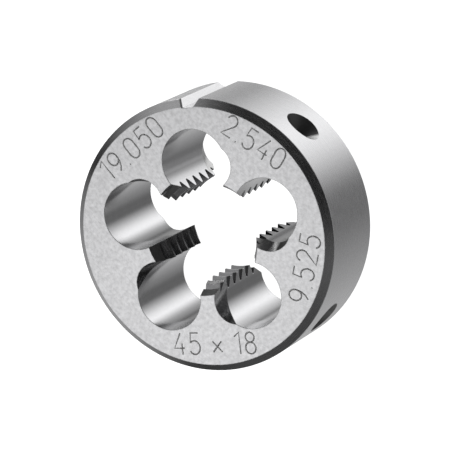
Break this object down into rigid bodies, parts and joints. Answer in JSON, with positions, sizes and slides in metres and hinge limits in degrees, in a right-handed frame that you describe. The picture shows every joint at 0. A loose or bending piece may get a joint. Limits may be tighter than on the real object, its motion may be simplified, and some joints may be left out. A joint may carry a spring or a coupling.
{
  "type": "round threading die",
  "caption": "Round solid threading die: steel disc with chip holes round a threaded bore, tapered leads, a V slot and conical screw seats in its rim; cuts a screw thread on a rod.",
  "frame": {"origin": "centre of the plain back face, on the die's axis", "axes": "+Z along the die's axis towards the marked face, +Y out through the V slot in the rim"},
  "size_m": [0.045, 0.0449, 0.018],
  "materials": {
    "die_steel": "ground and polished high-speed steel"
  },
  "bodies": {
    "root": {"die_body": "die_steel"}
  },
  "joints": []
}
